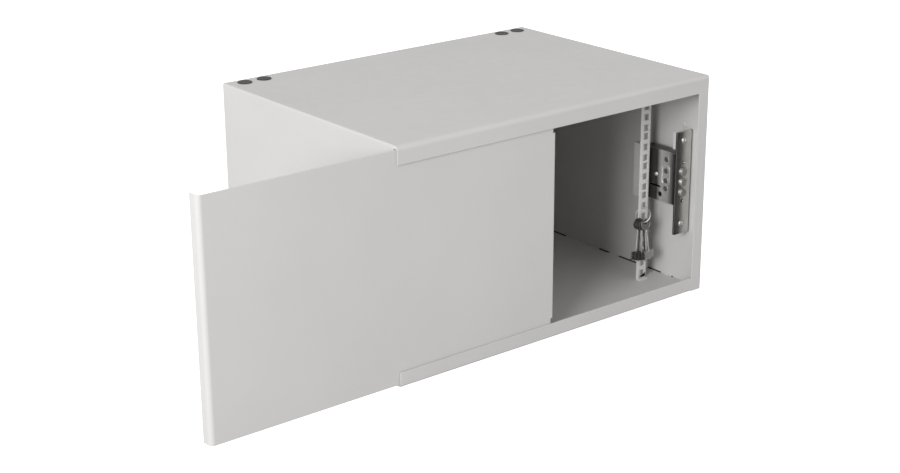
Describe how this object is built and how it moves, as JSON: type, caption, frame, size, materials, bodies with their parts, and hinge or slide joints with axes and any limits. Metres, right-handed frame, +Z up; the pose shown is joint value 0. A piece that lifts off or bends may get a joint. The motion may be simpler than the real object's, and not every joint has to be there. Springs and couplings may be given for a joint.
{
  "type": "network server rack cabinet",
  "caption": "Low wall-mount 19-inch cabinet in grey sheet steel: the front panel slides out sideways, a lever lock and keys inside, cable plugs in the roof.",
  "frame": {"origin": "centre of the flat underside of the cabinet, without the door that stands out to the left", "axes": "+X to the cabinet's right, seen from its front, +Y from the front to the rear, +Z up"},
  "size_m": [0.83, 0.4, 0.3212],
  "materials": {
    "powder_coat": "fine-textured light grey powder coat",
    "rail_paint": "smooth light grey paint",
    "black_plastic": "matt moulded",
    "bright_steel": "zinc-plated, lightly brushed",
    "dark_steel": "oiled dark steel",
    "spring_steel": "bright",
    "brass": "satin",
    "key_steel": "nickel-plated"
  },
  "bodies": {
    "housing": {"outer_shell": "powder_coat", "floor_panel": "powder_coat", "back_panel": "powder_coat", "upper_door_guide": "powder_coat", "lower_door_guide": "powder_coat", "rail_left": "rail_paint", "rail_right": "rail_paint", "rail_bracket_left": "rail_paint", "rail_bracket_right": "rail_paint", "cable_plug_1": "black_plastic", "cable_plug_2": "black_plastic", "cable_plug_3": "black_plastic", "cable_plug_4": "black_plastic", "lock_bracket_upper": "powder_coat", "lock_bracket_lower": "powder_coat", "lock_face_plate": "bright_steel", "lock_face_screws": "bright_steel", "lock_case": "dark_steel", "lock_cover": "dark_steel", "lock_cover_rivets": "dark_steel", "lock_cover_screw": "bright_steel", "lock_key_guide": "dark_steel", "lock_lever_pivot": "bright_steel"},
    "door": {"door_panel": "powder_coat", "door_strike": "bright_steel"},
    "bolts": {"lock_carriage": "dark_steel", "lock_bolt_upper": "bright_steel", "lock_bolt_middle": "bright_steel", "lock_bolt_lower": "bright_steel"},
    "levers": {"lock_lever_1": "brass", "lock_lever_2": "brass", "lock_lever_3": "brass", "lock_lever_4": "brass", "lock_lever_springs": "spring_steel"},
    "key_ring": {"key_ring": "key_steel"},
    "key_1": {"key_1": "key_steel"},
    "key_2": {"key_2": "key_steel"},
    "key_3": {"key_3": "key_steel"},
    "key_4": {"key_4": "key_steel"},
    "key_5": {"key_5": "key_steel"}
  },
  "joints": [
    {"name": "door_slide", "type": "slide", "parent": "housing", "child": "door", "axis": [1, 0, 0], "range_m": [-0.235, 0.278]},
    {"name": "bolt_throw", "type": "slide", "parent": "housing", "child": "bolts", "axis": [0, -1, 0], "range_m": [0, 0.018]},
    {"name": "lever_lift", "type": "hinge", "parent": "housing", "child": "levers", "pos_m": [0.255, -0.107, 0.163], "axis": [-1, 0, 0], "range_deg": [-6, 0], "stiffness_Nm_per_rad": 0.05, "springref_deg": -8.59},
    {"name": "ring_swing", "type": "hinge", "parent": "housing", "child": "key_ring", "pos_m": [0.22985, -0.11925, 0.11215], "axis": [-0.5286, 0, -0.8489], "range_deg": [0, 12]},
    {"name": "key_1_swing", "type": "hinge", "parent": "key_ring", "child": "key_1", "pos_m": [0.22011, -0.1227, 0.09427], "axis": [-0.1392, -0.9903, 0], "range_deg": [-6, 6]},
    {"name": "key_2_swing", "type": "hinge", "parent": "key_ring", "child": "key_2", "pos_m": [0.22063, -0.12499, 0.09362], "axis": [-0.1392, -0.9903, 0], "range_deg": [-6, 6]},
    {"name": "key_3_swing", "type": "hinge", "parent": "key_ring", "child": "key_3", "pos_m": [0.22145, -0.12732, 0.09343], "axis": [-0.1392, -0.9903, 0], "range_deg": [-6, 6]},
    {"name": "key_4_swing", "type": "hinge", "parent": "key_ring", "child": "key_4", "pos_m": [0.22262, -0.1297, 0.09375], "axis": [-0.1392, -0.9903, 0], "range_deg": [-6, 6]},
    {"name": "key_5_swing", "type": "hinge", "parent": "key_ring", "child": "key_5", "pos_m": [0.22427, -0.13215, 0.09481], "axis": [-0.1392, -0.9903, 0], "range_deg": [-6, 6]}
  ]
}
